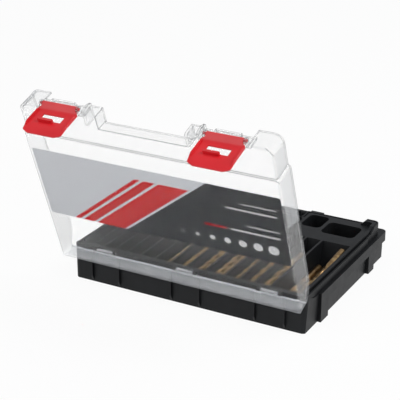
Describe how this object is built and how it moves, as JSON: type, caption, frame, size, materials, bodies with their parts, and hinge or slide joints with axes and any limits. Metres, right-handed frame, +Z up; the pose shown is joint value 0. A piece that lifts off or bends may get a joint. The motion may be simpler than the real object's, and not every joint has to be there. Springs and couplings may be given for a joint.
{
  "type": "drill bit case",
  "caption": "Flat carrying case with a compartment tray of twist drills under a clear hinged lid with flip-over latches.",
  "frame": {"origin": "middle of the base's underside", "axes": "+X along the hinge, to the right of someone who faces the latches is +X; latches towards -Y, hinge towards +Y, +Z up"},
  "size_m": [0.3498, 0.4084, 0.2902],
  "materials": {
    "black_plastic": "satin moulded, finely textured",
    "tray_plastic": "satin moulded",
    "clear_plastic": "clear polished",
    "red_plastic": "satin gloss moulded",
    "printed_card": "printed, matt",
    "pin_steel": "drawn wire",
    "drill_steel": "straw-brown heat tint on the flutes"
  },
  "bodies": {
    "base": {"base_shell": "black_plastic", "tray_front": "tray_plastic", "tray_rear": "tray_plastic", "rear_dividers": "tray_plastic", "hinge_pin_right": "pin_steel", "hinge_pin_middle": "pin_steel", "hinge_pin_left": "pin_steel", "drills_1_0": "drill_steel", "drills_1_5": "drill_steel", "drills_2_0": "drill_steel", "drills_2_5": "drill_steel", "drills_3_0": "drill_steel", "drills_3_5": "drill_steel", "drills_4_0": "drill_steel", "drills_4_5": "drill_steel", "drills_5_0": "drill_steel", "drills_5_5": "drill_steel", "drills_6_0": "drill_steel", "drills_6_5": "drill_steel", "drills_7_0": "drill_steel", "drills_7_5": "drill_steel", "drills_8_0": "drill_steel", "drills_8_5": "drill_steel", "drills_9_0": "drill_steel", "drills_9_5": "drill_steel", "drills_10_0": "drill_steel"},
    "lid": {"lid": "clear_plastic", "card_insert": "printed_card"},
    "latch_right": {"latch_right": "red_plastic"},
    "latch_left": {"latch_left": "red_plastic"}
  },
  "joints": [
    {"name": "lid_hinge", "type": "hinge", "parent": "base", "child": "lid", "pos_m": [0, 0.12985, 0.0489], "axis": [1, 0, 0], "range_deg": [0, 109.7]},
    {"name": "latch_right_pivot", "type": "hinge", "parent": "lid", "child": "latch_right", "pos_m": [-0.1115, 0.23248, 0.28481], "axis": [1, 0, 0], "range_deg": [0, 180]},
    {"name": "latch_left_pivot", "type": "hinge", "parent": "lid", "child": "latch_left", "pos_m": [0.1115, 0.23248, 0.28481], "axis": [1, 0, 0], "range_deg": [0, 180]}
  ]
}
